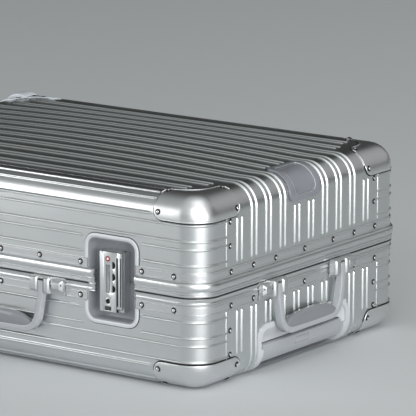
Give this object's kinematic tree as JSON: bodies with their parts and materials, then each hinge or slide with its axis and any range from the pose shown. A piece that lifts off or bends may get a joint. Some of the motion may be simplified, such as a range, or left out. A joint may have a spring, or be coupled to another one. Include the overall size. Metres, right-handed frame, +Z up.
{
  "type": "hard shell suitcase on wheels",
  "caption": "Ribbed aluminium suitcase lying on its back: hinged lid and base, latches with number dials, two carry handles, telescopic pull handle and swivel casters.",
  "frame": {"origin": "on the plane the case lies on, below the middle of its body", "axes": "+X towards the handle end, -X towards the casters, -Y towards the lock side, +Y towards the hinge side, +Z up through the lid"},
  "size_m": [0.6951, 0.4763, 0.254],
  "materials": {
    "shell_sheet": "satin anodised",
    "frame_metal": "satin anodised",
    "cap_metal": "satin, pressed",
    "bracket_metal": "fine blasted",
    "tube_metal": "satin anodised",
    "rivet_steel": "polished heads",
    "pin_steel": "ground",
    "lock_metal": "satin silver",
    "badge_metal": "satin, bare",
    "pan_plastic": "pale grey",
    "handle_plastic": "pale grey, silver coated",
    "housing_plastic": "pale blue grey",
    "dial_plastic": "moulded",
    "button_plastic": "black",
    "wheel_rubber": "moulded",
    "seal_rubber": "extruded",
    "lining_cloth": "woven lining"
  },
  "bodies": {
    "base": {"base_back_sheet": "shell_sheet", "base_lock_side_sheet": "shell_sheet", "base_hinge_side_sheet": "shell_sheet", "base_frame": "frame_metal", "base_corner_caps": "cap_metal", "base_wheel_housings": "housing_plastic", "base_lining": "lining_cloth", "base_rivets": "rivet_steel", "base_lock_pans": "pan_plastic", "frame_seal": "seal_rubber", "base_hinge_leaves": "frame_metal", "hinge_pins": "pin_steel", "side_handle_brackets": "bracket_metal", "end_handle_brackets": "bracket_metal", "handle_pins": "pin_steel", "pull_recess_pan": "pan_plastic", "pull_guides": "tube_metal", "lock_body_left": "lock_metal", "lock_body_right": "lock_metal"},
    "lid": {"lid_face_sheet": "shell_sheet", "lid_lock_side_sheet": "shell_sheet", "lid_hinge_side_sheet": "shell_sheet", "lid_frame": "frame_metal", "lid_corner_caps": "cap_metal", "lid_wheel_housings": "housing_plastic", "lid_lining": "lining_cloth", "lid_rivets": "rivet_steel", "lid_lock_pans": "pan_plastic", "lid_hinge_leaves": "frame_metal", "badge_plate": "badge_metal", "lock_catches": "frame_metal"},
    "side_handle": {"side_handle": "handle_plastic"},
    "end_handle": {"end_handle": "handle_plastic"},
    "pull_stage_one": {"pull_stage_one": "tube_metal"},
    "pull_stage_two": {"pull_stage_two": "tube_metal", "pull_grip": "pan_plastic"},
    "pull_button": {"pull_button": "button_plastic"},
    "lock_lever_left": {"lock_lever_left": "lock_metal"},
    "dial_left_1": {"dial_left_1": "dial_plastic"},
    "dial_left_2": {"dial_left_2": "dial_plastic"},
    "dial_left_3": {"dial_left_3": "dial_plastic"},
    "key_cylinder_left": {"key_cylinder_left": "pin_steel"},
    "lock_button_left": {"lock_button_left": "button_plastic"},
    "lock_lever_right": {"lock_lever_right": "lock_metal"},
    "dial_right_1": {"dial_right_1": "dial_plastic"},
    "dial_right_2": {"dial_right_2": "dial_plastic"},
    "dial_right_3": {"dial_right_3": "dial_plastic"},
    "key_cylinder_right": {"key_cylinder_right": "pin_steel"},
    "lock_button_right": {"lock_button_right": "button_plastic"},
    "caster_fork_lid_lock": {"caster_fork_lid_lock": "housing_plastic"},
    "caster_wheels_lid_lock": {"caster_wheels_lid_lock": "wheel_rubber"},
    "caster_fork_lid_hinge": {"caster_fork_lid_hinge": "housing_plastic"},
    "caster_wheels_lid_hinge": {"caster_wheels_lid_hinge": "wheel_rubber"},
    "caster_fork_base_lock": {"caster_fork_base_lock": "housing_plastic"},
    "caster_wheels_base_lock": {"caster_wheels_base_lock": "wheel_rubber"},
    "caster_fork_base_hinge": {"caster_fork_base_hinge": "housing_plastic"},
    "caster_wheels_base_hinge": {"caster_wheels_base_hinge": "wheel_rubber"}
  },
  "joints": [
    {"name": "lid_hinge", "type": "hinge", "parent": "base", "child": "lid", "pos_m": [0, 0.233, 0.124], "axis": [-1, 0, 0], "range_deg": [0, 95]},
    {"name": "side_handle_pivot", "type": "hinge", "parent": "base", "child": "side_handle", "pos_m": [0, -0.232, 0.112], "axis": [-1, 0, 0], "range_deg": [0, 100]},
    {"name": "end_handle_pivot", "type": "hinge", "parent": "base", "child": "end_handle", "pos_m": [0.319, 0, 0.112], "axis": [0, -1, 0], "range_deg": [0, 100]},
    {"name": "pull_stage_one_slide", "type": "slide", "parent": "base", "child": "pull_stage_one", "axis": [1, 0, 0], "range_m": [0, 0.22]},
    {"name": "pull_stage_two_slide", "type": "slide", "parent": "pull_stage_one", "child": "pull_stage_two", "axis": [1, 0, 0], "range_m": [0, 0.22]},
    {"name": "pull_button_press", "type": "slide", "parent": "pull_stage_two", "child": "pull_button", "axis": [-1, 0, 0], "range_m": [0, 0.003], "stiffness_N_per_m": 400},
    {"name": "lock_lever_left_pivot", "type": "hinge", "parent": "base", "child": "lock_lever_left", "pos_m": [-0.1615, -0.2225, 0.093], "axis": [1, 0, 0], "range_deg": [0, 75]},
    {"name": "dial_left_1_spin", "type": "hinge", "parent": "base", "child": "dial_left_1", "pos_m": [-0.174, -0.2161, 0.11645], "axis": [0, 0, 1], "continuous": true},
    {"name": "dial_left_2_spin", "type": "hinge", "parent": "base", "child": "dial_left_2", "pos_m": [-0.174, -0.2161, 0.13155], "axis": [0, 0, 1], "continuous": true},
    {"name": "dial_left_3_spin", "type": "hinge", "parent": "base", "child": "dial_left_3", "pos_m": [-0.174, -0.2161, 0.14665], "axis": [0, 0, 1], "continuous": true},
    {"name": "key_cylinder_left_turn", "type": "hinge", "parent": "base", "child": "key_cylinder_left", "pos_m": [-0.1789, -0.218, 0.1003], "axis": [0, 1, 0], "range_deg": [0, 90]},
    {"name": "lock_button_left_press", "type": "slide", "parent": "base", "child": "lock_button_left", "axis": [0, 1, 0], "range_m": [0, 0.0015], "stiffness_N_per_m": 200},
    {"name": "lock_lever_right_pivot", "type": "hinge", "parent": "base", "child": "lock_lever_right", "pos_m": [0.1865, -0.2225, 0.093], "axis": [1, 0, 0], "range_deg": [0, 75]},
    {"name": "dial_right_1_spin", "type": "hinge", "parent": "base", "child": "dial_right_1", "pos_m": [0.174, -0.2161, 0.11645], "axis": [0, 0, 1], "continuous": true},
    {"name": "dial_right_2_spin", "type": "hinge", "parent": "base", "child": "dial_right_2", "pos_m": [0.174, -0.2161, 0.13155], "axis": [0, 0, 1], "continuous": true},
    {"name": "dial_right_3_spin", "type": "hinge", "parent": "base", "child": "dial_right_3", "pos_m": [0.174, -0.2161, 0.14665], "axis": [0, 0, 1], "continuous": true},
    {"name": "key_cylinder_right_turn", "type": "hinge", "parent": "base", "child": "key_cylinder_right", "pos_m": [0.1691, -0.218, 0.1003], "axis": [0, 1, 0], "range_deg": [0, 90]},
    {"name": "lock_button_right_press", "type": "slide", "parent": "base", "child": "lock_button_right", "axis": [0, 1, 0], "range_m": [0, 0.0015], "stiffness_N_per_m": 200},
    {"name": "swivel_lid_lock", "type": "hinge", "parent": "lid", "child": "caster_fork_lid_lock", "pos_m": [-0.316, -0.176, 0.201], "axis": [1, 0, 0], "continuous": true},
    {"name": "wheels_lid_lock", "type": "hinge", "parent": "caster_fork_lid_lock", "child": "caster_wheels_lid_lock", "pos_m": [-0.346, -0.176, 0.19], "axis": [0, 1, 0], "continuous": true},
    {"name": "swivel_lid_hinge", "type": "hinge", "parent": "lid", "child": "caster_fork_lid_hinge", "pos_m": [-0.316, 0.176, 0.201], "axis": [1, 0, 0], "continuous": true},
    {"name": "wheels_lid_hinge", "type": "hinge", "parent": "caster_fork_lid_hinge", "child": "caster_wheels_lid_hinge", "pos_m": [-0.346, 0.176, 0.19], "axis": [0, 1, 0], "continuous": true},
    {"name": "swivel_base_lock", "type": "hinge", "parent": "base", "child": "caster_fork_base_lock", "pos_m": [-0.316, -0.176, 0.047], "axis": [1, 0, 0], "continuous": true},
    {"name": "wheels_base_lock", "type": "hinge", "parent": "caster_fork_base_lock", "child": "caster_wheels_base_lock", "pos_m": [-0.346, -0.176, 0.036], "axis": [0, 1, 0], "continuous": true},
    {"name": "swivel_base_hinge", "type": "hinge", "parent": "base", "child": "caster_fork_base_hinge", "pos_m": [-0.316, 0.176, 0.047], "axis": [1, 0, 0], "continuous": true},
    {"name": "wheels_base_hinge", "type": "hinge", "parent": "caster_fork_base_hinge", "child": "caster_wheels_base_hinge", "pos_m": [-0.346, 0.176, 0.036], "axis": [0, 1, 0], "continuous": true}
  ]
}
